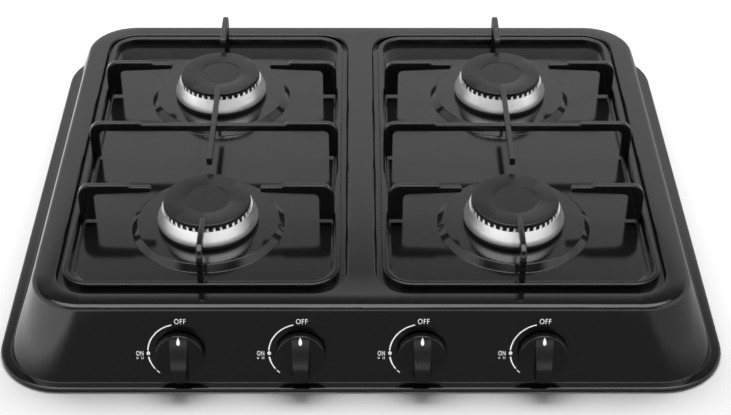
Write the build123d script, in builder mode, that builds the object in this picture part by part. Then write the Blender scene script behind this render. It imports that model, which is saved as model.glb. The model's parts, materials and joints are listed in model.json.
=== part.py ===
from build123d import *
import os
from math import atan, cos, sin, tan

# Four-burner gas cooktop, millimetres. +Z up, +X right, the knobs face -Y.
# The origin is the centre of the footprint, at the height the feet stand on.

# ---------------------------------------------------------------- driving sizes
# pressed steel body
sheet = 0.8
flange_width = 600.0
flange_depth = 518.0
flange_corner = 56.0
flange_top = 4.5
flange_fold = 2.0
lip_bottom = 1.0
foot_strip = 8.6            # flat of the flange outside the wall, sides and back
foot_strip_front = 7.6
top_height = 73.3
side_lean = 33.0            # top's edge inside the flange's edge
front_lean = 21.3
back_lean = 64.3
top_corner = 43.0
top_fold = 5.0              # rounding of the fold between top and walls

# wells, burner places
well_margin_side = 18.95    # top's edge to the well
well_margin_front = 17.4
well_margin_back = 15.4
well_web = 23.9             # between the wells
well_corner = 27.5
shelf_drop = 5.3            # rest for the pan support, below the top
floor_drop = 8.3            # well floor, below the top
seat_side = 11.8            # flat seat of the pan support, sides and back
seat_front = 15.4
shelf_side = 13.0           # well's wall to the floor, past the slope
shelf_front = 22.0
shelf_back = 32.0
edge_round = 1.5
burner_set = 100.3          # burner's middle from the well's front or back wall
rear_burner_out = 2.2       # rear burners outside the wells' middle
plateau_foot_r = 65.4
plateau_top_r = 60.0
plateau_rise = 5.0

# burner
cup_rim_r = 41.3
cup_rim_height = 2.5
cup_neck_r = 34.0
cup_wall = 3.0
mixer_r = 11.0
venturi_r = 6.0
socket_r = 4.0
hole_gap = 0.4
stub_length = 15.0          # gas inlet stub, from the burner's axis
mixer_drop = 7.2            # mixing tube's foot below the gas pipe
socket_rise = 6.8           # injector's seat above the gas pipe
injector_length = 6.0
injector_head_r = 5.2
injector_head = 2.5
jet_r = 0.7
air_window = 6.5
window_gap = 1.9            # air window below the chamber
burner_screw_ring = 37.8
crown_r = 42.7
crown_top_r = 38.3
crown_band = 1.6            # upright band at the crown's foot
crown_height = 13.7
crown_spigot = 6.0
crown_inner_r = 32.0
spigot_r = 30.5
spigot_wall = 3.0
port_wall_r = 36.6
port_height = 2.6
port_count = 40
port_width = 3.6
cap_r = 37.0
cap_height = 3.4
cap_dish_r = 19.0
cap_dish = 0.5
cap_edge = 1.3
cap_lug_r = 31.4
cap_lug_wall = 3.0
cap_lug = 3.0

# pan supports
support_shift = 3.0         # centre of the frame behind the well's centre
support_out = 1.0           # and outside it
rail_gap_x = 7.2            # bar's centre-line from the well's wall
rail_gap_y = 9.3
rail_bar = 5.0
rail_tall = 6.0
rail_corner = 22.0
finger_thickness = 5.0
finger_rise = 36.0          # top of the fingers above the shelf
finger_step = 1.8
finger_depth = 9.5
tip_depth = 5.8
leg_width = 13.0
cross_leg_width = 8.5
bend_r = 11.0
inner_bend_r = 5.0
bar_extra = 1.2             # long and cross bars deeper than a tip
side_tip = 45.6             # finger tip from the frame's middle line
shoulder_in = 65.5          # where the raised shoulder ends
end_reach = 48.0            # end fingers, tip from the frame
end_shoulder = 30.0
long_bar_clear = 42.0       # long bar's ends from the burners' middles
side_finger_in = 2.0        # side fingers nearer to each other than the burners
cross_bar_y = -4.0
bar_round = 1.1

# taps and knobs
knob_pitch = 97.0
knob_up = 28.6              # knob centre, up the apron from its foot
spindle_hole_r = 6.5
knob_push = 2.2
knob_r = 19.8
knob_disc = 6.4
knob_height = 15.4
grip_width = 14.4
grip_taper = 6.0
spindle_r = 3.5
running_gap = 0.08
free_gap = 0.4
valve_r = 8.6
valve_front = 12.0          # depths inwards from the apron's outer face
valve_back = 42.0
plug_r = 6.2
plug_front = 26.0
plug_back = 38.0
tang_width = 2.0
tang_length = 6.0
plug_bore = 1.2
collar_r = 5.0
collar_front = 12.3
collar_width = 1.5
bonnet_thick = 2.0
bonnet_width = 27.0
bonnet_height = 21.0
bonnet_corner = 4.0
bonnet_screw_x = 10.6
bonnet_flange = 4.0
small_screw_r = 1.4
small_head_r = 2.6
small_head = 1.6
small_screw = 5.0
spindle_end = 11.8          # outwards from the apron, inside the knob
shaft_inner = 23.5
spindle_flat = 1.0
seal_flange_r = 8.5
seal_flange = 1.4
outlet_length = 8.6         # nipple behind the tap

# gas train
rail_back = 26.75           # rail's middle behind the knobs' centres
rail_width = 14.0
rail_height = 10.5
rail_wall = 1.5
rail_left_end = 39.5        # rail beyond the outer taps
rail_lead = 20.0            # supply pipe's straight start, to its bend
rail_plug = 8.0
rail_plug_head = 2.0
pipe_r = 3.0
pipe_bore = 2.0
pipe_bend = 16.0
nut_r = 5.5
nut_length = 9.0
supply_r = 5.0
supply_bore = 4.0
supply_bend = 14.0
supply_inset = 60.0         # supply pipe from the flange's side
inlet_rise = 13.0           # inlet above the base plate
inlet_r = 10.48             # outside of a G 1/2 thread
inlet_thread = 15.0
inlet_neck_r = 9.6          # behind the thread
inlet_bore = 6.5
elbow_inset = 37.0          # elbow's back from the flange's edge
elbow_length = 16.0
elbow_half = 11.5
elbow_lift = 2.0            # elbow above the base plate
elbow_height = 25.0
elbow_wall = 3.0
bracket_sheet = 1.5
bracket_width = 20.0
bracket_foot = 18.0
bracket_hole = 6.0          # screw from the end of a bracket's foot
inlet_screw_x = 8.0
clamp_sheet = 1.2
clamp_half = 16.0
clamp_rise = 4.6
clamp_screw_x = 12.5
saddle_half = 15.5
feed_lead_front = 21.0      # straight stretch behind the outer taps
feed_run_rear = 70.8        # slanting stretch towards the rear burners
feed_tail_front = 21.0      # straight stretch before a burner's stub
feed_tail_rear = 25.0

# base
base_thick = 0.8
base_margin = 2.4           # from the lip's outer face
vent_length = 60.0
vent_width = 5.0
vent_pitch = 14.0
vent_count = 6
foot_r = 8.0
foot_inset = 31.5
post_r = 5.0
post_inset = 12.0           # post from the edges of the well's floor
screw_r = 2.0
screw_length = 9.0
short_screw = 5.0
head_r = 3.8
head_height = 1.4

# ------------------------------------------------------------ worked-out places
top_width = flange_width - 2 * side_lean
top_front = -flange_depth / 2 + front_lean
top_back = flange_depth / 2 - back_lean
well_width = (top_width - well_web) / 2 - well_margin_side
well_x = (well_width + well_web) / 2
well_front = top_front + well_margin_front
well_back = top_back - well_margin_back
burner_front_y = well_front + burner_set
burner_rear_y = well_back - burner_set
burner_rear_x = well_x + rear_burner_out
flange_under = flange_top - sheet
base_bottom = flange_under - base_thick
shelf_z = top_height - shelf_drop
floor_z = top_height - floor_drop
plateau_z = floor_z + plateau_rise
well_length = well_back - well_front
well_y = (well_front + well_back) / 2
foot_width = flange_width - 2 * foot_strip
foot_front = -flange_depth / 2 + foot_strip_front
foot_back = flange_depth / 2 - foot_strip
foot_corner = flange_corner - foot_strip
wall_height = top_height - flange_top
apron_tilt = atan((top_front - foot_front) / wall_height)
knob_y = foot_front + knob_up * sin(apron_tilt)
knob_z = flange_top + knob_up * cos(apron_tilt)
knob_places = [(n - 1.5) * knob_pitch for n in range(4)]
knob_gap = knob_push + free_gap
burners = [(-well_x, burner_front_y), (-burner_rear_x, burner_rear_y), (burner_rear_x, burner_rear_y),
           (well_x, burner_front_y)]
cup_rim_z = plateau_z + cup_rim_height
crown_top_z = cup_rim_z + crown_height
cap_z = crown_top_z + port_height
finger_top = shelf_z + finger_rise
cap_top = cap_z + cap_height

# Gas height: the taps' outlets, the feed pipes and the burners' stubs share it.
pipe_z = knob_z - valve_back * sin(apron_tilt)
outlet_y = knob_y + valve_back * cos(apron_tilt) + outlet_length
mixer_low = pipe_z - mixer_drop
injector_low = pipe_z + socket_rise
injector_high = injector_low + injector_length
window_low = injector_high + injector_head
cup_floor = window_low + air_window + window_gap
rail_y = knob_y + rail_back
rail_top = knob_z - (rail_back + rail_width / 2) * tan(apron_tilt) - valve_r / cos(apron_tilt) - free_gap
rail_under = rail_top - rail_height
rail_mid = rail_top - rail_height / 2
rail_left = knob_places[0] - rail_left_end
clamp_screw_z = rail_top + clamp_rise / 2
supply_x = flange_width / 2 - supply_inset
rail_right = supply_x - rail_lead
inlet_z = flange_under + inlet_rise
elbow_back = flange_depth / 2 - elbow_inset
elbow_front = elbow_back - elbow_length
elbow_low = flange_under + elbow_lift
elbow_top = elbow_low + elbow_height

# The pieces of a burner and its tap are named after the burner's place.
corners = ["front_left", "rear_left", "rear_right", "front_right"]

os.makedirs("parts", exist_ok=True)


def save(piece, name):
    piece.label = name
    export_step(piece, f"parts/{name}.step")


def apron_plane(x, out=0.0):
    """Plane on the apron at a knob: local X right, Y up the slope, Z outwards."""
    y = knob_y - out * cos(apron_tilt)
    z = knob_z + out * sin(apron_tilt)
    return Plane(origin=(x, y, z), x_dir=(1, 0, 0), z_dir=(0, -cos(apron_tilt), sin(apron_tilt)))


def wall_outline(z, inset):
    """Width, front, back and corner radius of the body at one height."""
    share = (z - flange_top) / wall_height
    width = foot_width + (top_width - foot_width) * share - 2 * inset
    front = foot_front + (top_front - foot_front) * share + inset
    back = foot_back + (top_back - foot_back) * share - inset
    corner = foot_corner + (top_corner - foot_corner) * share - inset
    return width, front, back, corner


def body_block(z_low, z_high, inset, fold):
    """Tapered block between two heights with its top edge rounded."""
    with BuildPart() as block:
        for z in (z_low, z_high):
            width, front, back, corner = wall_outline(z, inset)
            with BuildSketch(Plane((0, (front + back) / 2, z))):
                RectangleRounded(width, back - front, corner)
        loft(ruled=True)
        fillet(block.faces().sort_by(Axis.Z)[-1].edges(), fold)
    return block.part


def rounded_block(width, depth, corner, z_low, z_high, centre=(0, 0), top_round=0.0, low_round=0.0):
    """Upright block with round corners and, where asked, rounded top or low edges."""
    with BuildPart() as block:
        with BuildSketch(Plane((centre[0], centre[1], z_low))):
            RectangleRounded(width, depth, corner)
        extrude(amount=z_high - z_low)
        if top_round:
            fillet(block.faces().sort_by(Axis.Z)[-1].edges(), top_round)
        if low_round:
            fillet(block.faces().sort_by(Axis.Z)[0].edges(), low_round)
    return block.part


def disc(radius, z_low, z_high, centre=(0, 0), mode=Mode.ADD):
    """Adds an upright disc to the part in hand, or cuts it."""
    with BuildSketch(Plane((centre[0], centre[1], z_low))) as outline:
        Circle(radius)
    extrude(outline.sketch, amount=z_high - z_low, mode=mode)


def cone(low_r, high_r, z_low, z_high, centre=(0, 0), mode=Mode.ADD):
    """Adds an upright cone to the part in hand, or cuts it."""
    with BuildSketch(Plane((centre[0], centre[1], z_low))) as low:
        Circle(low_r)
    with BuildSketch(Plane((centre[0], centre[1], z_high))) as high:
        Circle(high_r)
    loft([low.sketch, high.sketch], mode=mode)


def rod(plane, radius, length, mode=Mode.ADD):
    """Adds a round bar that starts on a plane, along its normal, or cuts it."""
    with BuildSketch(plane) as outline:
        Circle(radius)
    extrude(outline.sketch, amount=length, mode=mode)


def facing_front(x, y, z):
    """Plane across the pipes, facing the front."""
    return Plane(origin=(x, y, z), x_dir=(1, 0, 0), z_dir=(0, -1, 0))


def facing_right(x, y, z):
    """Plane across the gas rail, facing right."""
    return Plane(origin=(x, y, z), x_dir=(0, 1, 0), z_dir=(1, 0, 0))


def dished_block(x, grow, drop):
    """Floor of a well: from the pan support's seat it slopes down to the flat floor."""
    seat_corner = well_corner - seat_side / 2 + grow
    seat_length = well_length - seat_front - seat_side
    seat_y = well_y + (seat_front - seat_side) / 2
    with BuildPart() as dish:
        with BuildSketch(Plane((x, floor_y, floor_z - drop))):
            RectangleRounded(floor_width + 2 * grow, floor_back - floor_front + 2 * grow, floor_corner + grow)
        with BuildSketch(Plane((x, seat_y, shelf_z - drop))):
            RectangleRounded(well_width - 2 * seat_side + 2 * grow, seat_length + 2 * grow, seat_corner)
        loft(ruled=True)
    return dish.part


# ------------------------------------------------------------------ top panel
# One pressed sheet: flange with a turned-down lip, sloping walls, top, two wells
# with a seat and a dished floor, and a raised round seat for each burner.
wall_inset = sheet / cos(apron_tilt)
floor_width = well_width - 2 * shelf_side
floor_front = well_front + shelf_front
floor_back = well_back - shelf_back
floor_y = (floor_front + floor_back) / 2
floor_corner = well_corner - shelf_side / 2
plateau_slope = (plateau_foot_r - plateau_top_r) / plateau_rise

outside = [
    rounded_block(flange_width, flange_depth, flange_corner, lip_bottom, flange_top, top_round=flange_fold),
    body_block(flange_top - 0.3, top_height, 0, top_fold),
]
inside = [
    rounded_block(flange_width - 2 * sheet, flange_depth - 2 * sheet, flange_corner - sheet, lip_bottom,
                  flange_under, top_round=flange_fold - sheet),
    body_block(lip_bottom, top_height - sheet, wall_inset, top_fold - sheet),
]
tray_outsides = []
tray_insides = []
for x in (-well_x, well_x):
    tray_outsides += [
        rounded_block(well_width + 2 * sheet, well_length + 2 * sheet, well_corner + sheet, shelf_z - sheet,
                      top_height - sheet, (x, well_y), low_round=edge_round),
        dished_block(x, sheet, sheet),
    ]
    tray_insides += [
        rounded_block(well_width, well_length, well_corner, shelf_z, top_height + 1, (x, well_y),
                      low_round=edge_round),
        dished_block(x, 0, 0),
    ]

with BuildPart() as top_panel:
    add(outside)
    add(inside, mode=Mode.SUBTRACT)
    add(tray_outsides)
    add(tray_insides, mode=Mode.SUBTRACT)
    for place in burners:
        cone(plateau_foot_r, plateau_top_r, floor_z - 0.1, plateau_z, place)
        cone(plateau_foot_r - sheet + plateau_slope, plateau_top_r - sheet, floor_z - sheet - 1, plateau_z - sheet,
             place, Mode.SUBTRACT)
        disc(cup_neck_r + hole_gap, floor_z - 2, plateau_z + 1, place, Mode.SUBTRACT)
        with BuildSketch(Plane((place[0], place[1], plateau_z))):
            with PolarLocations(burner_screw_ring, 3):
                Circle(small_screw_r)
        extrude(amount=-2 * sheet, mode=Mode.SUBTRACT)
    for x in knob_places:
        rod(apron_plane(x, sheet), spindle_hole_r, -3 * sheet, Mode.SUBTRACT)
    rod(facing_front(supply_x, flange_depth / 2, inlet_z), inlet_r + hole_gap, elbow_inset, Mode.SUBTRACT)
    rims = top_panel.edges().filter_by_position(Axis.Z, top_height - 0.01, top_height + 0.01)
    rims = [e for e in rims if abs(e.center().Y - well_y) < well_length / 2 + 0.1
            and abs(abs(e.center().X) - well_x) < well_width / 2 + 0.1]
    fillet(rims, edge_round)
save(top_panel.part, "top_panel")


# ----------------------------------------------------------------------- base
# Flat closing plate inside the lip, on posts that hang from the well floors.
foot_x = flange_width / 2 - foot_inset
foot_y = flange_depth / 2 - foot_inset
foot_spots = [(x, y) for x in (-foot_x, 0, foot_x) for y in (-foot_y, foot_y)]
post_spots = []
for side in (-1, 1):
    outer_x = side * (well_x + floor_width / 2 - post_inset)
    inner_x = side * (well_x - floor_width / 2 + post_inset)
    post_spots += [(outer_x, floor_front + post_inset), (outer_x, floor_back - post_inset), (inner_x, floor_y)]
bracket_places = [-knob_pitch, 0, knob_pitch]
bracket_spots = [(x, rail_y + rail_width / 2 + bracket_foot - bracket_hole) for x in bracket_places]
inlet_screw_spots = [(supply_x + x, elbow_front - bracket_hole) for x in (-inlet_screw_x, inlet_screw_x)]
screw_spots = post_spots + bracket_spots + inlet_screw_spots
base_top = flange_under
base_blank = rounded_block(flange_width - 2 * base_margin, flange_depth - 2 * base_margin,
                           flange_corner - base_margin, base_bottom, base_top)

with BuildPart() as base_plate:
    add(base_blank)
    with BuildSketch(Plane.XY.offset(base_bottom)):
        for place in burners:
            with Locations(place):
                with GridLocations(0, vent_pitch, 1, vent_count):
                    SlotOverall(vent_length, vent_width)
        with Locations(*screw_spots):
            Circle(screw_r + hole_gap / 2)
    extrude(amount=base_thick, mode=Mode.SUBTRACT)
save(base_plate.part, "base_plate")

with BuildPart() as rubber_feet:
    with BuildSketch():
        with Locations(*foot_spots):
            Circle(foot_r)
    extrude(amount=base_bottom)
save(rubber_feet.part, "rubber_feet")

with BuildPart() as support_posts:
    with BuildSketch(Plane.XY.offset(base_top)):
        with Locations(*post_spots):
            Circle(post_r)
    extrude(amount=floor_z - sheet - base_top)
    with BuildSketch(Plane.XY.offset(base_top)):
        with Locations(*post_spots):
            Circle(screw_r + running_gap)
    extrude(amount=screw_length + 1, mode=Mode.SUBTRACT)
save(support_posts.part, "support_posts")

with BuildPart() as base_screws:
    with BuildSketch(Plane.XY.offset(base_bottom)):
        with Locations(*screw_spots):
            Circle(head_r)
    extrude(amount=-head_height)
    with BuildSketch(Plane.XY.offset(base_bottom)):
        with Locations(*post_spots):
            Circle(screw_r)
    extrude(amount=screw_length)
    with BuildSketch(Plane.XY.offset(base_bottom)):
        with Locations(*(bracket_spots + inlet_screw_spots)):
            Circle(screw_r)
    extrude(amount=short_screw)
save(base_screws.part, "base_screws")


# --------------------------------------------------------------- pan supports
# Each is a square-bar frame lying on the shelf, with six fingers, a cross bar on
# two legs and a long bar halved into it.
support_y = well_y + support_shift
rail_half_x = well_width / 2 - rail_gap_x
rail_half_y = well_length / 2 - rail_gap_y
frame_inner_x = rail_half_x - rail_bar / 2
frame_inner_y = rail_half_y - rail_bar / 2
bar_top = finger_top - finger_step
bar_low = bar_top - tip_depth - bar_extra
half_joint = (bar_top + bar_low) / 2
burner_half_y = (burner_rear_y - burner_front_y) / 2
side_finger_y = burner_half_y - side_finger_in
long_bar_half = burner_half_y - long_bar_clear
end_tip = frame_inner_y - end_reach
end_shoulder_in = frame_inner_y - end_shoulder


def upright_plane(x, y, direction):
    """Upright plane whose local X points along a horizontal direction."""
    return Plane(origin=(x, y, 0), x_dir=(direction[0], direction[1], 0), z_dir=(direction[1], -direction[0], 0))


def round_sides(part, axis):
    flat = part.faces().filter_by(axis)
    fillet(flat.sort_by(axis)[0].edges() + flat.sort_by(axis)[-1].edges(), bar_round)


def finger(x, y, direction, outer, tip, shoulder):
    """One bent flat bar: leg on the frame, raised shoulder, lower tip with a round end."""
    low = bar_top - tip_depth
    elbow = finger_top - finger_depth
    tip_r = tip_depth / 2
    with BuildPart() as bar:
        with BuildSketch(upright_plane(x, y, direction)):
            with BuildLine():
                Line((outer, shelf_z), (outer, finger_top - bend_r))
                CenterArc((outer - bend_r, finger_top - bend_r), bend_r, 0, 90)
                Polyline((outer - bend_r, finger_top), (shoulder, finger_top), (shoulder - finger_step, bar_top),
                         (tip + tip_r, bar_top))
                CenterArc((tip + tip_r, bar_top - tip_r), tip_r, 90, 180)
                Line((tip + tip_r, low), (outer - leg_width - inner_bend_r, elbow))
                CenterArc((outer - leg_width - inner_bend_r, elbow - inner_bend_r), inner_bend_r, 0, 90)
                Polyline((outer - leg_width, elbow - inner_bend_r), (outer - leg_width, shelf_z), (outer, shelf_z))
            make_face()
        extrude(amount=finger_thickness / 2, both=True)
        round_sides(bar, Axis.Y if direction[0] else Axis.X)
    return bar.part


for side, word in ((-1, "left"), (1, "right")):
    middle = side * (well_x + support_out)
    cross_y = support_y + cross_bar_y

    with BuildPart() as frame_rail:
        with BuildSketch(Plane((middle, support_y, shelf_z))):
            RectangleRounded(2 * rail_half_x + rail_bar, 2 * rail_half_y + rail_bar, rail_corner + rail_bar / 2)
            RectangleRounded(2 * frame_inner_x, 2 * frame_inner_y, rail_corner - rail_bar / 2, mode=Mode.SUBTRACT)
        extrude(amount=rail_tall)
        fillet(frame_rail.edges().group_by(Axis.Z)[-1], bar_round)
    save(frame_rail.part, f"pan_support_frame_{word}")

    with BuildPart() as cross_bar:
        with BuildSketch(upright_plane(middle, cross_y, (1, 0))):
            with BuildLine():
                Line((rail_half_x, shelf_z + rail_tall), (rail_half_x, finger_top - bend_r))
                CenterArc((rail_half_x - bend_r, finger_top - bend_r), bend_r, 0, 90)
                Polyline((rail_half_x - bend_r, finger_top), (shoulder_in, finger_top),
                         (shoulder_in - finger_step, bar_top), (0, bar_top))
                cross_inner = rail_half_x - cross_leg_width
                Line((0, bar_low), (cross_inner - inner_bend_r, bar_low))
                CenterArc((cross_inner - inner_bend_r, bar_low - inner_bend_r), inner_bend_r, 0, 90)
                Polyline((cross_inner, bar_low - inner_bend_r), (cross_inner, shelf_z), (frame_inner_x, shelf_z),
                         (frame_inner_x, shelf_z + rail_tall), (rail_half_x, shelf_z + rail_tall))
                mirror(about=Plane.YZ)
            make_face()
        extrude(amount=finger_thickness / 2, both=True)
        round_sides(cross_bar, Axis.Y)
        with BuildSketch(Plane((middle, cross_y, half_joint))):
            Rectangle(finger_thickness + running_gap, finger_thickness + 1)
        extrude(amount=finger_top - half_joint, mode=Mode.SUBTRACT)
    save(cross_bar.part, f"pan_support_cross_bar_{word}")

    with BuildPart() as long_bar:
        with BuildSketch(upright_plane(middle, support_y, (0, 1))):
            with Locations((0, (bar_top + bar_low) / 2)):
                Rectangle(2 * long_bar_half, bar_top - bar_low)
        extrude(amount=finger_thickness / 2, both=True)
        round_sides(long_bar, Axis.X)
        with BuildSketch(Plane((middle, cross_y, bar_low - 1))):
            Rectangle(finger_thickness + 1, finger_thickness + running_gap)
        extrude(amount=half_joint - bar_low + 1, mode=Mode.SUBTRACT)
    save(long_bar.part, f"pan_support_long_bar_{word}")

    six = [finger(side * well_x, support_y, (0, -1), frame_inner_y, end_tip, end_shoulder_in),
           finger(side * burner_rear_x, support_y, (0, 1), frame_inner_y, end_tip, end_shoulder_in)]
    for y in (support_y - side_finger_y, support_y + side_finger_y):
        six += [finger(middle, y, direction, frame_inner_x, side_tip, shoulder_in) for direction in ((-1, 0), (1, 0))]
    with BuildPart() as fingers:
        add(six)
    save(fingers.part, f"pan_support_fingers_{word}")


# -------------------------------------------------------------------- burners
def around(place, z):
    return Plane((place[0], place[1], z))


def burner_cup(place):
    """Cast cup: rim on the panel, mixing chamber, injector holder with its stub."""
    stub = facing_front(0, 0, pipe_z)
    with BuildPart() as cup:
        disc(cup_rim_r, plateau_z, cup_rim_z)
        disc(cup_neck_r, cup_floor, plateau_z)
        disc(mixer_r, mixer_low, cup_floor)
        rod(stub, nut_r, stub_length)
        disc(cup_neck_r - cup_wall, cup_floor + cup_wall, cup_rim_z, mode=Mode.SUBTRACT)
        disc(venturi_r, injector_high, cup_floor + cup_wall, mode=Mode.SUBTRACT)
        disc(socket_r, injector_low, injector_high, mode=Mode.SUBTRACT)
        disc(pipe_bore, pipe_z, injector_low, mode=Mode.SUBTRACT)
        rod(stub, pipe_bore, stub_length, Mode.SUBTRACT)
        with BuildSketch(Plane.XY.offset(window_low)):
            Rectangle(2 * mixer_r + 2, mixer_r)
        extrude(amount=air_window, mode=Mode.SUBTRACT)
        with BuildSketch(Plane.XY.offset(plateau_z)):
            with PolarLocations(burner_screw_ring, 3):
                Circle(small_screw_r)
        extrude(amount=cup_rim_height, mode=Mode.SUBTRACT)
        with BuildSketch(Plane.XY.offset(cup_rim_z - small_head / 2)):
            with PolarLocations(burner_screw_ring, 3):
                Circle(small_head_r)
        extrude(amount=small_head, mode=Mode.SUBTRACT)
    return cup.part.moved(Location((place[0], place[1], 0)))


def burner_crown(place):
    """Turned aluminium flame spreader with its ring of ports."""
    with BuildPart() as crown:
        with BuildSketch(Plane.XZ):
            with BuildLine():
                Polyline(
                    (spigot_r - spigot_wall, cup_rim_z - crown_spigot),
                    (spigot_r, cup_rim_z - crown_spigot),
                    (spigot_r, cup_rim_z),
                    (crown_r - 1.2, cup_rim_z),
                    (crown_r, cup_rim_z + 1.2),
                    (crown_r, cup_rim_z + 1.2 + crown_band),
                    (crown_top_r, crown_top_z),
                    (port_wall_r, crown_top_z),
                    (port_wall_r, cap_z),
                    (crown_inner_r, cap_z),
                    (crown_inner_r, cup_rim_z + crown_spigot),
                    (spigot_r - spigot_wall, cup_rim_z + 1.5),
                    close=True,
                )
            make_face()
        revolve(axis=Axis.Z)
        with BuildSketch(Plane.XY.offset(crown_top_z)):
            with PolarLocations((crown_inner_r + port_wall_r) / 2, port_count):
                Rectangle(port_wall_r - crown_inner_r + 2, port_width)
        extrude(amount=port_height, mode=Mode.SUBTRACT)
    return crown.part.moved(Location((place[0], place[1], 0)))


def burner_cap(place):
    """Enamelled lid with a shallow dish and a locating ring under it."""
    with BuildPart() as cap:
        disc(cap_r, cap_z, cap_top, place)
        fillet(cap.edges().group_by(Axis.Z)[-1], cap_edge)
        fillet(cap.edges().group_by(Axis.Z)[0], cap_edge / 2)
        disc(cap_dish_r, cap_top - cap_dish, cap_top + 1, place, Mode.SUBTRACT)
        fillet(cap.edges().group_by(Axis.Z)[-1].sort_by(SortBy.LENGTH)[0], cap_dish / 2)
        with BuildSketch(around(place, cap_z)):
            Circle(cap_lug_r)
            Circle(cap_lug_r - cap_lug_wall, mode=Mode.SUBTRACT)
        extrude(amount=-cap_lug)
    return cap.part


for place, corner in zip(burners, corners):
    save(burner_cup(place), f"burner_cup_{corner}")
    save(burner_crown(place), f"burner_crown_{corner}")
    save(burner_cap(place), f"burner_cap_{corner}")

with BuildPart() as injectors:
    for place in burners:
        disc(socket_r - running_gap, injector_low, injector_high, place)
        with BuildSketch(around(place, injector_high)):
            RegularPolygon(injector_head_r, 6)
        extrude(amount=injector_head)
        disc(jet_r, injector_low, window_low, place, Mode.SUBTRACT)
save(injectors.part, "injectors")

with BuildPart() as burner_screws:
    for place in burners:
        with BuildSketch(around(place, cup_rim_z)):
            with PolarLocations(burner_screw_ring, 3):
                Circle(small_head_r - running_gap)
        extrude(amount=-small_head / 2)
        with BuildSketch(around(place, cup_rim_z - small_head / 2)):
            with PolarLocations(burner_screw_ring, 3):
                Circle(small_screw_r - running_gap)
        extrude(amount=-small_screw)
save(burner_screws.part, "burner_screws")


# ------------------------------------------------------------- taps and knobs
def clamp_screw_planes(x, out=0.0):
    """Planes of the four screws that hold a tap's clamp, facing outwards."""
    return [Plane(origin=(x + across, rail_y + face * (rail_width / 2 + out), clamp_screw_z), x_dir=(1, 0, 0),
                  z_dir=(0, face, 0)) for across in (-clamp_screw_x, clamp_screw_x) for face in (-1, 1)]


def bonnet_screw_planes(x):
    """Planes of the two screws on top of a tap's bonnet plate."""
    return [apron_plane(x + across, bonnet_thick - valve_front) for across in (-bonnet_screw_x, bonnet_screw_x)]


def valve_body(x):
    """Die-cast tap body seated on the gas rail, bored for its plug."""
    front = apron_plane(x, -valve_front)
    outlet = facing_front(x, outlet_y, pipe_z)
    with BuildPart() as body:
        rod(front, valve_r, valve_front - valve_back)
        with BuildSketch(front):
            RectangleRounded(bonnet_width, bonnet_height, bonnet_corner)
        extrude(amount=-bonnet_flange)
        with BuildSketch(Plane((x, rail_y, rail_top))):
            Rectangle(2 * saddle_half, rail_width)
        extrude(amount=clamp_rise)
        rod(outlet, nut_r, outlet_length + 2)
        rod(front, plug_r + running_gap, valve_front - plug_back - running_gap, Mode.SUBTRACT)
        rod(outlet, pipe_bore, outlet_length + valve_back - plug_back + 2, Mode.SUBTRACT)
        disc(pipe_bore, rail_top, rail_top + valve_r, (x, rail_y), Mode.SUBTRACT)
        for plane in bonnet_screw_planes(x):
            rod(plane, small_screw_r, -bonnet_thick - bonnet_flange, Mode.SUBTRACT)
        for plane in clamp_screw_planes(x):
            rod(plane, small_screw_r, -small_screw, Mode.SUBTRACT)
    return body.part


def valve_plug(x):
    """Plug that turns in the tap, slotted for the spindle's tang."""
    cross = apron_plane(x, -(plug_front + tang_length + plug_back) / 2)
    with BuildPart() as plug:
        rod(apron_plane(x, -plug_front), plug_r, plug_front - plug_back)
        with BuildSketch(apron_plane(x, -plug_front)):
            Rectangle(tang_width + 2 * running_gap, 2 * plug_r + 1)
        extrude(amount=-tang_length, mode=Mode.SUBTRACT)
        rod(facing_right(x - plug_r, cross.origin.Y, cross.origin.Z), plug_bore, 2 * plug_r, Mode.SUBTRACT)
    return plug.part


def spindle(x):
    """Pushed and turned by the knob, with a collar for the spring and a tang."""
    with BuildPart() as shaft:
        rod(apron_plane(x, spindle_end), spindle_r, -spindle_end - shaft_inner)
        rod(apron_plane(x, -collar_front), collar_r, -collar_width)
        with BuildSketch(apron_plane(x, -shaft_inner)):
            Rectangle(tang_width, 2 * spindle_r - 1)
        extrude(amount=-tang_length)
        with BuildSketch(apron_plane(x, spindle_end)):
            with Locations((0, -spindle_r)):
                Rectangle(2 * spindle_r, 2 * spindle_flat)
        extrude(amount=knob_gap - spindle_end, mode=Mode.SUBTRACT)
    return shaft.part


def knob_spring(x):
    """Return spring round the spindle, as the sleeve that its turns fill."""
    with BuildPart() as spring:
        with BuildSketch(apron_plane(x, -collar_front - collar_width)):
            Circle(collar_r)
            Circle(spindle_r + hole_gap, mode=Mode.SUBTRACT)
        extrude(amount=collar_front + collar_width - plug_front)
    return spring.part


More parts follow.
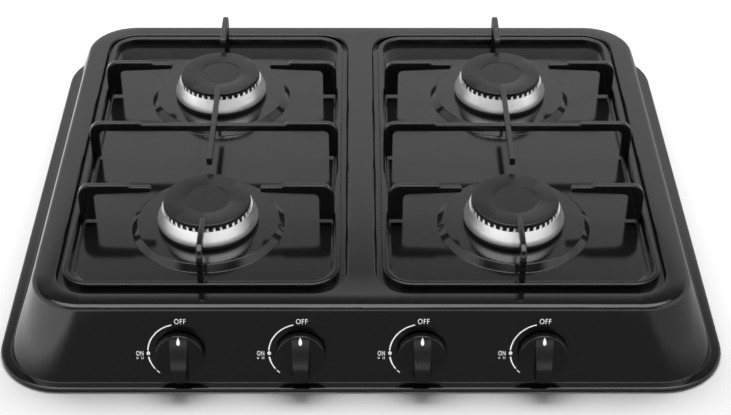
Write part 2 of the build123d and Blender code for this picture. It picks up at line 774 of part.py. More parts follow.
def knob(x):
    """Round skirt with a tapered grip whose top slopes down to the pointer end."""
    up = Vector(0, sin(apron_tilt), cos(apron_tilt))
    out = Vector(0, -cos(apron_tilt), sin(apron_tilt))
    face = knob_gap + knob_disc
    tall = knob_gap + knob_height
    with BuildPart() as handle:
        with BuildSketch(apron_plane(x, knob_gap)):
            Circle(knob_r)
        extrude(amount=knob_disc)
        fillet(handle.faces().sort_by(Axis((x, knob_y, knob_z), out))[-1].edges(), 1.2)
        with BuildSketch(apron_plane(x, face - 1)):
            Rectangle(grip_width, 2 * knob_r)
            Circle(knob_r - 0.3, mode=Mode.INTERSECT)
        extrude(amount=knob_height - knob_disc + 1, taper=grip_taper)
        with BuildSketch(Plane(origin=(x, knob_y, knob_z), x_dir=up, z_dir=(1, 0, 0))):
            with BuildLine():
                Spline((knob_r + 2, face + 0.2), (knob_r * 0.62, face + 1.6), (knob_r * 0.25, face + 4.6),
                       (-knob_r * 0.2, tall - 1.0), (-knob_r * 0.62, tall - 0.1), (-knob_r - 2, tall - 1.2))
                Polyline((-knob_r - 2, tall - 1.2), (-knob_r - 2, tall + 4), (knob_r + 2, tall + 4),
                         (knob_r + 2, face + 0.2))
            make_face()
        extrude(amount=knob_r, both=True, mode=Mode.SUBTRACT)
        with BuildSketch(apron_plane(x, knob_gap)):
            Circle(knob_r - 2)
            Circle(2 * spindle_r, mode=Mode.SUBTRACT)
        extrude(amount=knob_disc - 2.5, mode=Mode.SUBTRACT)
        with BuildSketch(apron_plane(x, knob_gap)):
            Circle(spindle_r + running_gap)
        extrude(amount=spindle_end - knob_gap + running_gap, mode=Mode.SUBTRACT)
    return handle.part


knob_front = knob(knob_places[0]).bounding_box().min.Y
for x, corner in zip(knob_places, corners):
    save(valve_body(x), f"valve_body_{corner}")
    save(valve_plug(x), f"valve_plug_{corner}")
    save(spindle(x), f"spindle_{corner}")
    save(knob_spring(x), f"knob_spring_{corner}")
    save(knob(x), f"knob_{corner}")

with BuildPart() as bonnet_plates:
    for x in knob_places:
        with BuildSketch(apron_plane(x, bonnet_thick - valve_front)):
            RectangleRounded(bonnet_width, bonnet_height, bonnet_corner)
            Circle(spindle_r + hole_gap, mode=Mode.SUBTRACT)
            with Locations((-bonnet_screw_x, 0), (bonnet_screw_x, 0)):
                Circle(small_screw_r, mode=Mode.SUBTRACT)
        extrude(amount=-bonnet_thick)
save(bonnet_plates.part, "bonnet_plates")

# Each strap wraps the rail from below; its four ears are screwed to the tap.
with BuildPart() as valve_clamps:
    for x in knob_places:
        strap_z = rail_under - clamp_sheet
        with BuildSketch(Plane((x, rail_y, strap_z))):
            Rectangle(2 * clamp_half, rail_width + 2 * clamp_sheet)
        extrude(amount=rail_top + clamp_rise - strap_z)
        with BuildSketch(Plane((x, rail_y, rail_under))):
            Rectangle(2 * clamp_half, rail_width)
        extrude(amount=rail_height + clamp_rise, mode=Mode.SUBTRACT)
        with BuildSketch(Plane((x, rail_y, rail_top))):
            Rectangle(2 * (valve_r + free_gap), rail_width + 2 * clamp_sheet)
        extrude(amount=clamp_rise, mode=Mode.SUBTRACT)
        for plane in clamp_screw_planes(x, clamp_sheet):
            rod(plane, small_screw_r, -clamp_sheet, Mode.SUBTRACT)
save(valve_clamps.part, "valve_clamps")

with BuildPart() as tap_screws:
    for x in knob_places:
        for plane in bonnet_screw_planes(x) + clamp_screw_planes(x, clamp_sheet):
            rod(plane, small_head_r, small_head)
            rod(plane, small_screw_r - running_gap, -small_screw)
save(tap_screws.part, "tap_screws")

with BuildPart() as knob_seals:
    for x in knob_places:
        rod(apron_plane(x), spindle_hole_r - running_gap, -sheet)
        rod(apron_plane(x, -sheet), seal_flange_r, -seal_flange)
        rod(apron_plane(x), spindle_r + hole_gap, -sheet - seal_flange, Mode.SUBTRACT)
save(knob_seals.part, "knob_seals")


# ------------------------------------------------------------------ gas train
def tube(points, radius, bore, bend):
    """Bent tube along a route with equal bends."""
    with BuildPart() as pipe:
        with BuildLine() as route:
            FilletPolyline(*points, radius=bend)
        start = Plane(origin=route.line @ 0, z_dir=route.line % 0)
        with BuildSketch(start):
            Circle(radius)
            Circle(bore, mode=Mode.SUBTRACT)
        sweep(path=route.line)
    return pipe.part


with BuildPart() as gas_rail:
    with BuildSketch(facing_right(rail_left, rail_y, rail_mid)):
        Rectangle(rail_width, rail_height)
    extrude(amount=rail_right - rail_left)
    with BuildSketch(facing_right(rail_left, rail_y, rail_mid)):
        Rectangle(rail_width - 2 * rail_wall, rail_height - 2 * rail_wall)
    extrude(amount=rail_right - rail_left - rail_wall, mode=Mode.SUBTRACT)
    rod(facing_right(rail_right, rail_y, rail_mid), pipe_bore, -2 * rail_wall, Mode.SUBTRACT)
    for x in knob_places:
        disc(pipe_bore, rail_top - 2 * rail_wall, rail_top, (x, rail_y), Mode.SUBTRACT)
save(gas_rail.part, "gas_rail")

with BuildPart() as rail_end_plug:
    with BuildSketch(facing_right(rail_left, rail_y, rail_mid)):
        Rectangle(rail_width - 2 * rail_wall - running_gap, rail_height - 2 * rail_wall - running_gap)
    extrude(amount=rail_plug)
    with BuildSketch(facing_right(rail_left, rail_y, rail_mid)):
        Rectangle(rail_width, rail_height)
    extrude(amount=-rail_plug_head)
save(rail_end_plug.part, "rail_end_plug")

supply_route = [(rail_right, rail_y, rail_mid), (supply_x, rail_y, rail_mid), (supply_x, elbow_front, rail_mid)]
save(tube(supply_route, supply_r, supply_bore, supply_bend), "supply_pipe")

# The threaded end stands out behind as far as the knobs do in front.
inlet_end = -knob_front
with BuildPart() as inlet_elbow:
    with BuildSketch(facing_front(supply_x, elbow_back, (elbow_low + elbow_top) / 2)):
        Rectangle(2 * elbow_half, elbow_height)
    extrude(amount=elbow_length)
    rod(facing_front(supply_x, inlet_end, inlet_z), inlet_r, inlet_thread)
    rod(facing_front(supply_x, inlet_end, inlet_z), inlet_neck_r, inlet_end - elbow_back)
    rod(facing_front(supply_x, inlet_end, inlet_z), inlet_bore, inlet_end - elbow_front - elbow_wall, Mode.SUBTRACT)
    rod(facing_front(supply_x, elbow_back - elbow_wall, rail_mid), supply_bore, elbow_length, Mode.SUBTRACT)
save(inlet_elbow.part, "inlet_elbow")

with BuildPart() as inlet_bracket:
    bracket_back = elbow_back + bracket_sheet
    with BuildSketch(Plane((supply_x, bracket_back - (elbow_length + bracket_foot) / 2, base_top))):
        Rectangle(2 * elbow_half, elbow_length + bracket_foot)
    extrude(amount=bracket_sheet)
    with BuildSketch(facing_front(supply_x, bracket_back, (base_top + elbow_top) / 2)):
        Rectangle(2 * elbow_half, elbow_top - base_top)
    extrude(amount=bracket_sheet)
    rod(facing_front(supply_x, bracket_back, inlet_z), inlet_r + running_gap, bracket_sheet, Mode.SUBTRACT)
    with BuildSketch(Plane.XY.offset(base_top)):
        with Locations(*inlet_screw_spots):
            Circle(screw_r + running_gap)
    extrude(amount=bracket_sheet, mode=Mode.SUBTRACT)
save(inlet_bracket.part, "inlet_bracket")

with BuildPart() as rail_brackets:
    back = rail_y + rail_width / 2
    for x in bracket_places:
        with BuildSketch(Plane((x, back + bracket_foot / 2, base_top))):
            Rectangle(bracket_width, bracket_foot)
        extrude(amount=bracket_sheet)
        with BuildSketch(Plane((x, back + bracket_sheet / 2, base_top))):
            Rectangle(bracket_width, bracket_sheet)
        extrude(amount=rail_top - base_top)
    with BuildSketch(Plane.XY.offset(base_top)):
        with Locations(*bracket_spots):
            Circle(screw_r + running_gap)
    extrude(amount=bracket_sheet, mode=Mode.SUBTRACT)
save(rail_brackets.part, "rail_brackets")


def feed_pipe(n, lead, tail):
    """Pipe from a tap's outlet to its burner's stub, straight at both ends."""
    x, y = burners[n]
    stub_y = y - stub_length
    route = [(knob_places[n], outlet_y, pipe_z), (knob_places[n], outlet_y + lead, pipe_z),
             (x, stub_y - tail, pipe_z), (x, stub_y, pipe_z)]
    return tube(route, pipe_r, pipe_bore, pipe_bend)


# The outer taps feed the front burners and the inner taps the rear ones.
feed_lead_rear = burner_rear_y - stub_length - feed_tail_rear - feed_run_rear - outlet_y
front_pair = [feed_pipe(n, feed_lead_front, feed_tail_front) for n in (0, 3)]
rear_pair = [feed_pipe(n, feed_lead_rear, feed_tail_rear) for n in (1, 2)]
for word, pair in (("front", front_pair), ("rear", rear_pair)):
    with BuildPart() as feed_pipes:
        add(pair)
    save(feed_pipes.part, f"feed_pipes_{word}")

with BuildPart() as pipe_nuts:
    for n, (x, y) in enumerate(burners):
        for nut in (facing_front(knob_places[n], outlet_y + nut_length, pipe_z),
                    facing_front(x, y - stub_length, pipe_z)):
            with BuildSketch(nut):
                RegularPolygon(nut_r, 6)
                Circle(pipe_r + running_gap, mode=Mode.SUBTRACT)
            extrude(amount=nut_length)
save(pipe_nuts.part, "pipe_nuts")
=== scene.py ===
import json
import math

import bpy
import numpy as np
from mathutils import Matrix, Vector
from mathutils.bvhtree import BVHTree


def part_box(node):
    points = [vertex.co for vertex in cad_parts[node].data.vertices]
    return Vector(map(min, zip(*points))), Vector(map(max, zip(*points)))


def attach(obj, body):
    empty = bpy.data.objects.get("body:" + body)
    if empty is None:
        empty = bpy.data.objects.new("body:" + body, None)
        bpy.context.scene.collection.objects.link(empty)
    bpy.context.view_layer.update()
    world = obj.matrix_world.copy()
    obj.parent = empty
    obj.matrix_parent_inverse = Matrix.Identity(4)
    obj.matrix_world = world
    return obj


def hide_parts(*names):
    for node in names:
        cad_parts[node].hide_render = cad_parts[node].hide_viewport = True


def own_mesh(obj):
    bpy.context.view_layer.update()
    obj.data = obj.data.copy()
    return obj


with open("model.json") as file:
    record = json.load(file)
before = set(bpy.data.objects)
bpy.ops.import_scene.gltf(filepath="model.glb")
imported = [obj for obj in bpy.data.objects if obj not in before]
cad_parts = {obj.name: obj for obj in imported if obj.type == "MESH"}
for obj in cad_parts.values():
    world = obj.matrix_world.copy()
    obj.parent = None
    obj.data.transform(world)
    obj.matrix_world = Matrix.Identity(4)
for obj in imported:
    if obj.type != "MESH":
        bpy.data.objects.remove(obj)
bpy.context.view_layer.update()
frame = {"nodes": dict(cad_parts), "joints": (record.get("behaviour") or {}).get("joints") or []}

nodes = frame["nodes"]
corners = ["front_left", "rear_left", "rear_right", "front_right"]


# ------------------------------------------------------------------ the camera
# A long lens in front of the object and above it, looking down over the knobs.
# Its place and angles come from the outline of the body in the photograph.
camera_place = (-0.00512, -1.19345, 0.8947)
camera_down = math.radians(37.1)
camera_right = math.radians(0.26)
camera_roll = math.radians(0.16)
focal_pixels = 1588.3
photo_width = 731
photo_centre = 360.75
photo_drop = 0.3

lens = bpy.data.cameras.new("camera")
lens.sensor_width = 36.0
lens.lens = focal_pixels / photo_width * lens.sensor_width
lens.shift_x = (photo_width / 2 - photo_centre) / photo_width
lens.shift_y = photo_drop / photo_width
lens.clip_end = 50.0
camera = bpy.data.objects.new("camera", lens)
camera.matrix_world = (Matrix.Translation(camera_place) @ Matrix.Rotation(-camera_right, 4, "Z")
                       @ Matrix.Rotation(math.pi / 2 - camera_down, 4, "X")
                       @ Matrix.Rotation(camera_roll, 4, "Z"))
bpy.context.scene.collection.objects.link(camera)
bpy.context.scene.camera = camera
bpy.context.scene.view_settings.view_transform = "Standard"


# --------------------------------------------------------- writing a material
# Shader maths is written as sums and products of links; each adds a Math node.
# Any other node comes from Nodes.node: its kind, its settings, its inputs.
class Link:
    """One output of a node, for use in expressions."""

    def __init__(self, nodes_of, socket):
        self.nodes_of = nodes_of
        self.socket = socket

    def maths(self, operation, *values):
        return self.nodes_of.node("ShaderNodeMath", {"operation": operation}, dict(enumerate(values)))

    def __add__(self, other):
        return self.maths("ADD", self, other)

    def __mul__(self, other):
        return self.maths("MULTIPLY", self, other)

    def __sub__(self, other):
        return self.maths("SUBTRACT", self, other)

    def __rsub__(self, other):
        return self.maths("SUBTRACT", other, self)

    def size(self):
        return self.maths("ABSOLUTE", self)

    def at_least(self, other):
        return self.maths("MAXIMUM", self, other)

    def step(self, low, high):
        """0 below low, 1 above high, smooth between."""
        return self.nodes_of.node("ShaderNodeMapRange", {"interpolation_type": "SMOOTHSTEP"},
                                  {"Value": self, "From Min": low, "From Max": high})

    def ramp(self, stops):
        """Grey that follows the value through a list of (position, brightness)."""
        grey_link = self.nodes_of.node("ShaderNodeValToRGB", {}, {0: self})
        elements = grey_link.socket.node.color_ramp.elements
        while len(elements) > 1:
            elements.remove(elements[-1])
        for n, (position, grey) in enumerate(stops):
            stop = elements[0] if n == 0 else elements.new(position)
            stop.position = position
            stop.color = (grey, grey, grey, 1)
        return grey_link


class Nodes:
    """A node tree under construction."""

    def __init__(self, tree):
        self.tree = tree

    def node(self, kind, settings=(), values=(), output=0):
        made = self.tree.nodes.new(kind)
        for key, value in dict(settings).items():
            setattr(made, key, value)
        for key, value in dict(values).items():
            if isinstance(value, Link):
                self.tree.links.new(value.socket, made.inputs[key])
            else:
                made.inputs[key].default_value = value
        return Link(self, made.outputs[output] if len(made.outputs) else None)

    def axes(self, place):
        return [self.node("ShaderNodeSeparateXYZ", {}, {0: place}, axis) for axis in "XYZ"]

    def length(self, place):
        return self.node("ShaderNodeVectorMath", {"operation": "LENGTH"}, {0: place}, "Value")

    def is_ray(self, kind):
        return self.node("ShaderNodeLightPath", output=f"Is {kind} Ray")

    def between(self, share, first, second):
        """Number that goes from first to second as share goes from 0 to 1."""
        return self.node("ShaderNodeMix", {"data_type": "FLOAT"}, {0: share, 2: first, 3: second})

    def blend(self, share, first, second):
        """Colour that goes from first to second as share goes from 0 to 1."""
        return self.node("ShaderNodeMix", {"data_type": "RGBA"}, {0: share, 6: first, 7: second}, output=2)


class Finish(Nodes):
    """A material under construction, around one shader."""

    def __init__(self, name, **sockets):
        self.material = bpy.data.materials.new(name)
        self.material.use_nodes = True
        super().__init__(self.material.node_tree)
        self.shader = self.tree.nodes["Principled BSDF"]
        for label, value in sockets.items():
            self.shader.inputs[label.replace("_", " ")].default_value = value

    def place(self):
        return self.node("ShaderNodeTexCoord", output="Object")

    def grain(self, scale, detail=2.0):
        return self.node("ShaderNodeTexNoise", {}, {"Vector": self.place(), "Scale": scale, "Detail": detail})

    def feed(self, label, link):
        self.tree.links.new(link.socket, self.shader.inputs[label])

    def raise_by(self, height, depth, edge=0.0):
        """Relief from a height, on edges that look rounded to a radius."""
        inputs = {"Height": height, "Distance": depth}
        if edge:
            inputs["Normal"] = self.node("ShaderNodeBevel", {"samples": 6}, {"Radius": edge})
        self.feed("Normal", self.node("ShaderNodeBump", {}, inputs))


def grey(tone, blue=1.0):
    return (tone, tone, tone * blue, 1)


def dress(names, finish, sharp=30.0):
    """Gives CAD pieces their finish, and smooths the faces that meet at a small angle."""
    for name in names:
        piece = nodes[name]
        piece.data.materials.clear()
        piece.data.materials.append(finish.material)
        piece.data.shade_smooth()
        if "custom_normal" in piece.data.attributes:
            piece.data.attributes.remove(piece.data.attributes["custom_normal"])
        weld = piece.modifiers.new("join", "WELD")
        weld.merge_threshold = 1e-6
        split = piece.modifiers.new("creases", "EDGE_SPLIT")
        split.split_angle = math.radians(sharp)
        split.use_edge_sharp = False


def per_corner(name):
    return [f"{name}_{corner}" for corner in corners]


# ----------------------------------------------------------------- the studio
# The glossy enamel mirrors a bright wall behind the object, a strip overhead,
# panels at the sides and a bright floor; none of these light it. The light
# comes from two soft lamps, one overhead and a lower one behind the camera.
wall_brightness = 1.07
front_brightness = 1.5
strip_brightness = 4.2
fill_light = 0.07

world = bpy.data.worlds.new("studio")
bpy.context.scene.world = world
world.use_nodes = True
world.node_tree.nodes.clear()
sky = Nodes(world.node_tree)

sideways, backwards, upwards = sky.axes(sky.node("ShaderNodeTexCoord", output="Generated"))
wall = upwards.ramp([(0.40, 0.90), (0.50, 0.95), (0.582, 1.0), (0.602, 0.85), (0.622, 0.57), (0.648, 0.31),
                     (0.68, 0.15), (0.75, 0.10)])
front = upwards.ramp([(0.30, 0.95), (0.46, 0.25), (0.56, 0.10)])
panels = (sideways.size().ramp([(0.45, 0.0), (0.60, 1.0)])
          * upwards.ramp([(0.40, 0.4), (0.50, 1.0), (0.72, 1.0), (0.80, 0.0)]))
strip = upwards.ramp([(0.80, 0.0), (0.90, 1.0)]) * strip_brightness
mirrored_sky = sky.between(backwards.step(-0.15, 0.25), front.at_least(panels) * front_brightness,
                           wall * wall_brightness).at_least(strip)
unseen_sky = sky.between(sky.is_ray("Glossy"), fill_light, mirrored_sky)
seen_directly = sky.is_ray("Camera").at_least(sky.is_ray("Transmission"))
background = sky.node("ShaderNodeBackground", {}, {
    "Color": grey(1.0), "Strength": sky.between(seen_directly, unseen_sky, 1.0)})
sky.node("ShaderNodeOutputWorld", {}, {"Surface": background})

floor_half = 4.0
floor_tone = 0.55
floor_tone_seen = 0.60
glow_start = 0.25           # the mirrored floor is bright past the object's sides
glow_full = 0.42
glow_left = 1.7
glow_right = 0.5
glow_all = 0.24
white_start = 0.5           # from here outwards the camera sees plain white
white_full = 1.1

floor_mesh = bpy.data.meshes.new("studio_floor")
floor_mesh.from_pydata([(x * floor_half, y * floor_half, 0) for x, y in ((-1, -1), (1, -1), (1, 1), (-1, 1))],
                       [], [(0, 1, 2, 3)])
floor = bpy.data.objects.new("studio_floor", floor_mesh)
bpy.context.scene.collection.objects.link(floor)
floor_finish = Finish("studio_floor", Roughness=1.0)
is_camera = floor_finish.is_ray("Camera")
paper = floor_finish.node("ShaderNodeBsdfDiffuse", {}, {
    "Color": floor_finish.blend(is_camera, grey(floor_tone), grey(floor_tone_seen))})
across = floor_finish.axes(floor_finish.place())[0]
glow = floor_finish.node("ShaderNodeEmission", {}, {
    "Color": grey(1.0),
    "Strength": ((0 - across).step(glow_start, glow_full) * glow_left
                 + across.step(glow_start, glow_full) * glow_right + glow_all)})
white = floor_finish.node("ShaderNodeEmission", {}, {"Color": grey(1.0), "Strength": 1.0})
far_off = floor_finish.length(floor_finish.place()).step(white_start, white_full) * is_camera
backdrop = floor_finish.node("ShaderNodeMixShader", {}, {0: far_off, 1: paper, 2: white})
upper_side = floor_finish.node("ShaderNodeMixShader", {}, {0: floor_finish.is_ray("Glossy"), 1: backdrop, 2: glow})
# From below, the floor is see-through, so that the underside can be looked at.
from_below = floor_finish.node("ShaderNodeNewGeometry", output="Backfacing")
clear = floor_finish.node("ShaderNodeBsdfTransparent")
floor_look = floor_finish.node("ShaderNodeMixShader", {}, {0: from_below, 1: upper_side, 2: clear})
floor_finish.tree.links.new(floor_look.socket, floor_finish.tree.nodes["Material Output"].inputs["Surface"])
floor_mesh.materials.append(floor_finish.material)


def soft_lamp(name, place, target, width, height, power):
    """Large rectangular lamp that faces a point."""
    light = bpy.data.lights.new(name, "AREA")
    light.shape = "RECTANGLE"
    light.size = width
    light.size_y = height
    light.energy = power
    lamp = bpy.data.objects.new(name, light)
    lamp.location = place
    lamp.rotation_euler = (Vector(target) - Vector(place)).to_track_quat("-Z", "Y").to_euler()
    bpy.context.scene.collection.objects.link(lamp)
    lamp.visible_camera = False
    lamp.visible_glossy = False


soft_lamp("overhead", place=(0.0, 0.60, 1.9), target=(0, 0, 0), width=2.2, height=1.2, power=86)
soft_lamp("front", place=(0.0, -2.5, 0.36), target=(0, 0, 0.05), width=1.4, height=0.4, power=40)


# ------------------------------------------------------------------ top panel
# One pressed steel sheet, dipped in gloss black enamel and fired. The fired
# glaze is very smooth, with a faint orange peel, and a little duller in the wells.
well_top = (0.0718, 0.0712)         # the duller part starts and is full at these places
well_y = -0.0205
well_half_length = (0.203, 0.201)
well_outer_side = (0.251, 0.249)
well_dullness = 0.03
dust = 0.05


def enamel(name, tone, gloss, peel, edge, index=1.5):
    finish = Finish(name, Metallic=0.0, IOR=index)
    finish.feed("Base Color", finish.blend(finish.grain(9.0, 3.0), grey(tone * 0.9, 0.92 / 0.9),
                                           grey(tone * 1.15, 1.16 / 1.15)))
    right, back, up = finish.axes(finish.place())
    wells = (up.step(*well_top) * (back - well_y).size().step(*well_half_length)
             * right.size().step(*well_outer_side))
    finish.feed("Roughness", finish.grain(60.0, 4.0) * dust + wells * well_dullness + gloss)
    finish.raise_by(finish.grain(230.0, 1.0), peel, edge)
    return finish


body_enamel = enamel("body_enamel", tone=0.004, gloss=0.06, peel=0.000006, edge=0.0010)
dress(["top_panel"], body_enamel, sharp=24)


# ----------------------------------------------------------------- underside
# Zinc-coated sheet closes the body from below. Six rubber pads carry it, and
# screws run through it into turned posts that hang from the wells.
def zinc_sheet(name):
    finish = Finish(name, Metallic=1.0)
    spangle = finish.node("ShaderNodeTexVoronoi", {}, {"Vector": finish.place(), "Scale": 95.0}, output=1)
    shade = finish.axes(spangle)[0]
    finish.feed("Base Color", finish.blend(shade, (0.44, 0.45, 0.47, 1), (0.60, 0.61, 0.62, 1)))
    finish.feed("Roughness", shade * 0.16 + 0.30)
    return finish


def worked_metal(name, dark, light, patches, scratches, rough):
    """Bare metal whose colour varies in patches and whose roughness varies in scratches."""
    finish = Finish(name, Metallic=1.0)
    finish.feed("Base Color", finish.blend(finish.grain(*patches), dark, light))
    finish.feed("Roughness", finish.grain(*scratches) * rough[1] + rough[0])
    return finish


def black_rubber(name):
    finish = Finish(name, IOR=1.45)
    powder = finish.grain(420.0, 5.0)
    finish.feed("Base Color", finish.blend(powder, (0.012, 0.012, 0.012, 1), (0.04, 0.04, 0.039, 1)))
    finish.feed("Roughness", powder * 0.2 + 0.65)
    finish.raise_by(finish.grain(1600.0, 2.0), 0.00008)
    return finish


zinc = zinc_sheet("zinc_sheet")
steel = worked_metal("bright_steel", (0.50, 0.50, 0.51, 1), (0.66, 0.66, 0.67, 1), patches=(260.0, 3.0),
                     scratches=(700.0, 2.0), rough=(0.22, 0.15))
rubber = black_rubber("black_rubber")
dress(["base_plate", "inlet_bracket", "rail_brackets", "valve_clamps", "bonnet_plates"], zinc)
dress(["support_posts", "base_screws", "burner_screws", "tap_screws", "gas_rail"], steel)
dress(["rubber_feet", "knob_seals"], rubber)


# ------------------------------------------------------------------ gas train
# A square steel rail carries the taps; bent aluminium pipes run from them to
# the burners. Nuts, plug, injectors and the threaded inlet are turned brass.
brass = worked_metal("turned_brass", (0.52, 0.36, 0.13, 1), (0.74, 0.56, 0.26, 1), patches=(180.0, 4.0),
                     scratches=(900.0, 2.0), rough=(0.24, 0.16))
pipe_metal = worked_metal("drawn_aluminium", (0.60, 0.60, 0.61, 1), (0.76, 0.76, 0.77, 1), patches=(150.0, 4.0),
                          scratches=(500.0, 3.0), rough=(0.28, 0.18))
dress(["rail_end_plug", "inlet_elbow", "pipe_nuts", "injectors"], brass)
dress(["supply_pipe", "feed_pipes_front", "feed_pipes_rear"], pipe_metal)


# ----------------------------------------------------------------------- taps
# Die-cast bodies sit on the rail. In each, a brass plug turns with the spindle,
# and a coil spring round the spindle pushes the knob back out.
def cast_metal(name, dark, light, depth, metallic=1.0):
    finish = Finish(name, Metallic=metallic)
    skin = finish.grain(800.0, 4.0)
    finish.feed("Base Color", finish.blend(skin, grey(dark), grey(light, 1.01)))
    finish.feed("Roughness", skin * 0.2 + 0.42)
    finish.raise_by(skin, depth)
    return finish


dress(per_corner("valve_body"), cast_metal("cast_tap", dark=0.36, light=0.50, depth=0.00006))
dress(per_corner("valve_plug"), brass)
dress(per_corner("spindle"), steel)

joints = {joint["name"]: joint for joint in frame["joints"]}
outwards = Vector(joints["knob_front_left_turn"]["axis"]).normalized()
up_slope = outwards.cross(Vector((1, 0, 0))).normalized()


def knob_frame(corner):
    """Matrix at a knob's centre on the apron: X right, Y up the slope, Z outwards."""
    axes = Matrix((Vector((1, 0, 0)), up_slope, outwards)).transposed().to_4x4()
    return Matrix.Translation(joints[f"knob_{corner}_turn"]["pos_m"]) @ axes


def surface(name, points, finish, closed=False):
    """Mesh of a grid of points, rows along u and columns along v; closed joins the last column to the first."""
    rows, columns = points.shape[:2]
    index = np.arange(rows * columns).reshape(rows, columns)
    if closed:
        index = np.hstack([index, index[:, :1]])
    faces = np.stack([index[:-1, :-1], index[:-1, 1:], index[1:, 1:], index[1:, :-1]], axis=-1).reshape(-1, 4)
    mesh = bpy.data.meshes.new(name)
    mesh.from_pydata(points.reshape(-1, 3).tolist(), [], faces.tolist())
    mesh.materials.append(finish.material)
    mesh.shade_smooth()
    piece = bpy.data.objects.new(name, mesh)
    bpy.context.scene.collection.objects.link(piece)
    return piece


spring_turns = 6.5
spring_wire = 0.0005        # half the wire's thickness


def coil_spring(name, inner, outer, reach):
    """Helix between two heights at a steady rise, with a round wire carried along it square to the axis."""
    turn = np.linspace(0, spring_turns * 2 * np.pi, 160)[:, None]
    round_wire = np.linspace(0, 2 * np.pi, 8, endpoint=False)[None, :]
    r = reach + spring_wire * np.cos(round_wire)
    rise = inner + (outer - inner) * turn / turn.max() + spring_wire * np.sin(round_wire)
    return surface(name, np.stack([r * np.cos(turn), r * np.sin(turn), rise], axis=-1), steel, closed=True)


for corner in corners:
    sleeve = nodes[f"knob_spring_{corner}"]
    here = knob_frame(corner)
    local = np.array([(here.inverted() @ v.co)[:] for v in sleeve.data.vertices])
    inner_end, outer_end = local[:, 2].min(), local[:, 2].max()
    coil_r = np.hypot(local[:, 0], local[:, 1]).max() - spring_wire
    spring = coil_spring(f"tap_spring_{corner}", inner_end + spring_wire, outer_end - spring_wire, coil_r)
    spring.data.transform(here)
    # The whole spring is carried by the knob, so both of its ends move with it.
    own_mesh(spring)
    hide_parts(sleeve.name)
    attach(spring, f"knob_set_{corner}")


# -------------------------------------------------------------------- burners
# A black cast cup sits on each raised seat. On it lie a turned aluminium crown,
# bright on its cone with fine tool rings, and a satin enamelled steel cap.
rings_per_metre = 3000.0


def turned_crown(name, centre):
    finish = Finish(name, Metallic=1.0)
    from_axis = finish.node("ShaderNodeVectorMath", {"operation": "SUBTRACT"}, {0: finish.place(), 1: centre})
    height = finish.axes(from_axis)[2]
    radius = finish.length(finish.node("ShaderNodeVectorMath", {"operation": "MULTIPLY"}, {0: from_axis, 1: (1, 1, 0)}))
    rings = finish.node("ShaderNodeTexNoise", {"noise_dimensions": "1D"},
                        {"W": (radius - height) * rings_per_metre, "Scale": 1.0, "Detail": 3.0})
    finish.feed("Base Color", finish.blend(rings, (0.74, 0.74, 0.75, 1), (0.95, 0.95, 0.96, 1)))
    finish.feed("Roughness", rings * 0.16 + 0.30)
    finish.raise_by(rings, 0.000006)
    return finish


dress(per_corner("burner_cup"), cast_metal("black_cup", dark=0.008, light=0.014, depth=0.00003, metallic=0.0))
cap_enamel = enamel("cap_enamel", tone=0.006, gloss=0.24, peel=0.000008, edge=0.0006, index=1.38)
dress(per_corner("burner_cap"), cap_enamel, sharp=28)
for corner in corners:
    low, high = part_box(f"burner_crown_{corner}")
    middle = (low + high) / 2
    dress([f"burner_crown_{corner}"], turned_crown(f"turned_crown_{corner}", (middle.x, middle.y, 0)))


# --------------------------------------------------------------- pan supports
# Square bar frames, welded fingers and halved cross bars, enamelled in the same
# gloss black as the body.
support_enamel = enamel("support_enamel", tone=0.004, gloss=0.05, peel=0.000006, edge=0.0012)
for side in ("left", "right"):
    dress([f"pan_support_{part}_{side}" for part in ("frame", "cross_bar", "long_bar", "fingers")],
          support_enamel, sharp=40)


# ---------------------------------------------------------------------- knobs
# Moulded black plastic with a satin skin. A white teardrop is inlaid in the
# slope at the top of each grip.
def moulded_plastic(name):
    finish = Finish(name, IOR=1.38)
    finish.feed("Base Color", finish.blend(finish.grain(40.0, 3.0), (0.004, 0.004, 0.0045, 1),
                                           (0.007, 0.007, 0.0075, 1)))
    finish.feed("Roughness", finish.grain(300.0, 3.0) * 0.06 + 0.17)
    finish.raise_by(finish.grain(1800.0, 2.0), depth=0.000006, edge=0.0005)
    return finish


def white_print(name, tone):
    finish = Finish(name, IOR=1.45)
    finish.feed("Base Color", finish.blend(finish.grain(900.0, 3.0), grey(tone), grey(tone * 0.9, 0.88 / 0.9)))
    finish.feed("Roughness", finish.grain(1200.0, 2.0) * 0.15 + 0.4)
    return finish


dress(per_corner("knob"), moulded_plastic("moulded_plastic"), sharp=28)
ink = white_print("white_print", tone=0.92)

pointer_low = 0.0122        # from the knob's middle, up the slope
pointer_high = 0.0193
pointer_half = 0.0014
pointer_proud = 0.00012
above_knob = 0.03


def pointer_points(here, grip):
    """Teardrop on the grip: the half width is the sine of pi times the share of the length to the power 0.6."""
    along = np.linspace(0, 1, 16)[:, None]
    side = np.linspace(-1, 1, 7)[None, :]
    u = pointer_half * np.sin(np.pi * along ** 0.6) * side
    v = pointer_low + (pointer_high - pointer_low) * along + 0 * side
    points = np.zeros(u.shape + (3,))
    for spot in np.ndindex(u.shape):
        start = here @ Vector((u[spot], v[spot], above_knob))
        hit = grip.ray_cast(start, -outwards)[0]
        points[spot] = (hit if hit else start) + outwards * pointer_proud
    return points


for corner in corners:
    knob_mesh = nodes[f"knob_{corner}"].data
    grip = BVHTree.FromPolygons([v.co for v in knob_mesh.vertices], [p.vertices for p in knob_mesh.polygons])
    pointer = surface(f"knob_pointer_{corner}", pointer_points(knob_frame(corner), grip), ink)
    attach(pointer, f"knob_set_{corner}")


# ----------------------------------------------------------------- dial print
# White marks printed on the apron round each knob: a thin arc that ends at OFF,
# a small drop at ON, a tapering arc below it with a short dash, and small strokes.
arc_r = 0.02586
ink_thick = 0.00004
letter_spacing = 1.12


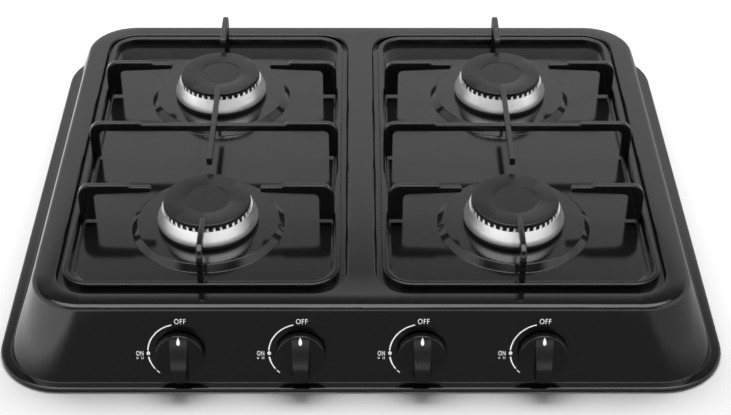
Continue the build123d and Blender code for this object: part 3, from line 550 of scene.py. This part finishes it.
def printed_arc(name, here, start, end, half_start, half_end, radius=arc_r, centre=(0.0, 0.0), steps=48, peak=0.0):
    """Strip between two angles in degrees, anticlockwise from the top, whose half width runs from one value to
    another. Where peak isn't 0, the strip widens at the top by peak times the cosine to the power 8."""
    angle = np.radians(np.linspace(start, end, steps))[:, None]
    half = np.linspace(half_start, half_end, steps)[:, None]
    r = radius + half * np.array([[-1.0, 1.0]]) * (1 + peak * np.clip(np.cos(angle), 0, 1) ** 8)
    points = np.stack([centre[0] - r * np.sin(angle), centre[1] + r * np.cos(angle), 0 * r + ink_thick], axis=-1)
    strip = surface(name, points, ink)
    strip.data.transform(here)
    return strip


def printed_word(name, here, word, size, narrow, centre):
    """Lettering laid flat on the apron, as a mesh."""
    curve = bpy.data.curves.new(name, "FONT")
    curve.body = word
    curve.size = size
    curve.align_x = "CENTER"
    curve.align_y = "CENTER"
    curve.space_character = letter_spacing
    holder = bpy.data.objects.new(name + "_outline", curve)
    bpy.context.scene.collection.objects.link(holder)
    bpy.context.view_layer.update()
    mesh = bpy.data.meshes.new_from_object(holder.evaluated_get(bpy.context.evaluated_depsgraph_get()))
    bpy.data.objects.remove(holder)
    mesh.transform(here @ Matrix.Translation((centre[0], centre[1], ink_thick)) @ Matrix.Diagonal((narrow, 1, 1, 1)))
    mesh.materials.clear()
    mesh.materials.append(ink.material)
    label = bpy.data.objects.new(name, mesh)
    bpy.context.scene.collection.objects.link(label)
    return label


for corner in corners:
    here = knob_frame(corner)
    marks = [
        printed_arc(f"dial_arc_{corner}", here, start=13, end=86, half_start=0.00052, half_end=0.00052),
        printed_arc(f"dial_ring_{corner}", here, start=0, end=360, half_start=0.00046, half_end=0.00046,
                    radius=0.00100, centre=(0.0003 - arc_r, -0.0010), steps=33, peak=1.2),
        printed_arc(f"dial_wedge_{corner}", here, start=99.5, end=127, half_start=0.00060, half_end=0.00042),
        printed_arc(f"dial_end_{corner}", here, start=130.5, end=138, half_start=0.00042, half_end=0.0003, steps=8),
        printed_word(f"dial_off_{corner}", here, "OFF", size=0.0067, narrow=0.76, centre=(0.0010, 0.0281)),
        printed_word(f"dial_on_{corner}", here, "ON", size=0.0062, narrow=0.60, centre=(-0.0324, -0.0012)),
        printed_word(f"dial_ticks_{corner}", here, "v ii", size=0.0040, narrow=1.15, centre=(-0.0325, -0.0052)),
    ]
    for mark in marks:
        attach(mark, "cooktop")
